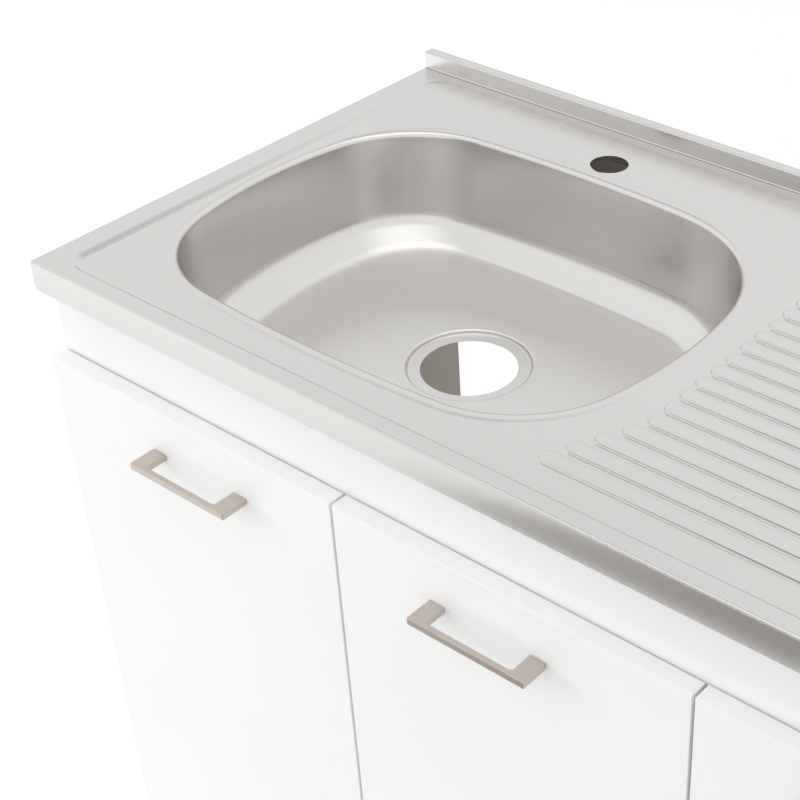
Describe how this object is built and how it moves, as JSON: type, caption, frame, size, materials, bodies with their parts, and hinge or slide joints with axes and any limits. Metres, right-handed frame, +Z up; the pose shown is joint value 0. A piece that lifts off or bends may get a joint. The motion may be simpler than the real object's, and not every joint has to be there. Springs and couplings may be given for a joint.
{
  "type": "kitchen sink unit",
  "caption": "Kitchen sink unit: pressed steel top with rounded bowl, tap hole, ribbed drainer and low upstand, on a white floor-standing cabinet with hinged doors and bar handles.",
  "frame": {"origin": "on the floor, under the middle of the whole unit, handles included", "axes": "+X to the right as seen from the front, +Y to the wall behind, +Z up"},
  "size_m": [1, 0.528, 0.8665],
  "materials": {
    "steel_sheet": "fine brushed, warm light grey",
    "white_board": "smooth white coated chipboard",
    "handle_metal": "satin nickel",
    "hinge_steel": "bright nickel plate",
    "zinc_steel": "zinc plated",
    "dowel_wood": "bare beech",
    "glide_plastic": "light grey",
    "soft_bumper": "clear soft disc"
  },
  "bodies": {
    "cabinet": {"sink_top": "steel_sheet", "sink_bowl": "steel_sheet", "sink_clips": "zinc_steel", "clip_screws": "zinc_steel", "side_panel_left": "white_board", "side_panel_right": "white_board", "partition": "white_board", "partition_screws": "zinc_steel", "bottom_panel": "white_board", "front_rail": "white_board", "rear_rail_top": "white_board", "rear_rail_bottom": "white_board", "plinth_board": "white_board", "shelf": "white_board", "shelf_pins": "zinc_steel", "glides": "glide_plastic", "cam_locks": "zinc_steel", "cam_bolts": "zinc_steel", "dowels": "dowel_wood", "hinge_arms_1": "hinge_steel", "hinge_plates_1": "hinge_steel", "plate_screws_1": "zinc_steel", "hinge_arms_2": "hinge_steel", "hinge_plates_2": "hinge_steel", "plate_screws_2": "zinc_steel", "hinge_arms_3": "hinge_steel", "hinge_plates_3": "hinge_steel", "plate_screws_3": "zinc_steel"},
    "door_1": {"door_panel_1": "white_board", "handle_1": "handle_metal", "handle_screws_1": "zinc_steel", "bumpers_1": "soft_bumper", "hinge_cups_1": "hinge_steel", "cup_screws_1": "zinc_steel"},
    "hinge_link_1": {"hinge_links_1": "hinge_steel"},
    "door_2": {"door_panel_2": "white_board", "handle_2": "handle_metal", "handle_screws_2": "zinc_steel", "bumpers_2": "soft_bumper", "hinge_cups_2": "hinge_steel", "cup_screws_2": "zinc_steel"},
    "hinge_link_2": {"hinge_links_2": "hinge_steel"},
    "door_3": {"door_panel_3": "white_board", "handle_3": "handle_metal", "handle_screws_3": "zinc_steel", "bumpers_3": "soft_bumper", "hinge_cups_3": "hinge_steel", "cup_screws_3": "zinc_steel"},
    "hinge_link_3": {"hinge_links_3": "hinge_steel"}
  },
  "joints": [
    {"name": "door_1_hinge", "type": "hinge", "parent": "cabinet", "child": "door_1", "pos_m": [-0.4955, -0.233, 0.4295], "axis": [0, 0, -1], "range_deg": [0, 105]},
    {"name": "link_1_pin", "type": "hinge", "parent": "door_1", "child": "hinge_link_1", "pos_m": [-0.4865, -0.224, 0.4295], "axis": [0, 0, -1], "range_deg": [-105, 0]},
    {"name": "door_2_hinge", "type": "hinge", "parent": "cabinet", "child": "door_2", "pos_m": [0.16223, -0.233, 0.4295], "axis": [0, 0, 1], "range_deg": [0, 105]},
    {"name": "link_2_pin", "type": "hinge", "parent": "door_2", "child": "hinge_link_2", "pos_m": [0.15323, -0.224, 0.4295], "axis": [0, 0, 1], "range_deg": [-105, 0]},
    {"name": "door_3_hinge", "type": "hinge", "parent": "cabinet", "child": "door_3", "pos_m": [0.4955, -0.233, 0.4295], "axis": [0, 0, 1], "range_deg": [0, 105]},
    {"name": "link_3_pin", "type": "hinge", "parent": "door_3", "child": "hinge_link_3", "pos_m": [0.4865, -0.224, 0.4295], "axis": [0, 0, 1], "range_deg": [-105, 0]}
  ],
  "couplings": [
    {"joint": "link_1_pin", "follows": "door_1_hinge", "ratio": -1},
    {"joint": "link_2_pin", "follows": "door_2_hinge", "ratio": -1},
    {"joint": "link_3_pin", "follows": "door_3_hinge", "ratio": -1}
  ]
}
